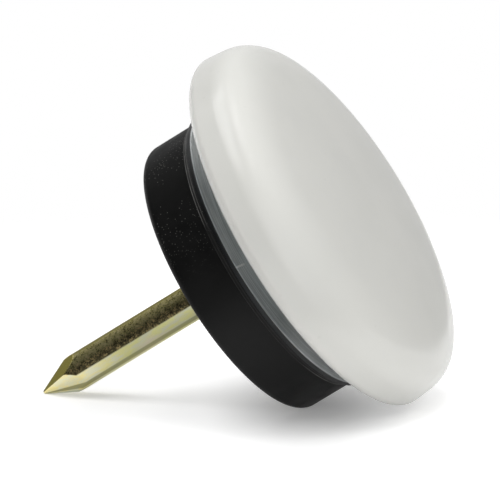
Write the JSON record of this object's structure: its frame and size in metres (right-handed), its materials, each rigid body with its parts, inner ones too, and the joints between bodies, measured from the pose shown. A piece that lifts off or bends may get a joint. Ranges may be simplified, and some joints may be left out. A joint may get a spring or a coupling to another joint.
{
  "type": "nail-in furniture glide",
  "caption": "Round furniture glide with a crowned nylon sole, a thin steel disc, a rubber cushion and a pointed nail that is driven into the end of a wooden leg.",
  "frame": {"origin": "lowest point of the crowned sole, on the glide's axis", "axes": "+Z along the nail, from the sole towards the nail's tip; the glide is round about +Z, and +X and +Y lie in the floor plane"},
  "size_m": [0.03, 0.03, 0.0304],
  "materials": {
    "sole": "satin moulded nylon",
    "backing_disc": "bright zinc plating over turned steel",
    "cushion": "smooth black rubber with a faint sheen",
    "nail": "yellow passivated zinc plating"
  },
  "bodies": {
    "root": {"sole": "sole", "backing_disc": "backing_disc", "cushion": "cushion", "nail": "nail"}
  },
  "joints": []
}
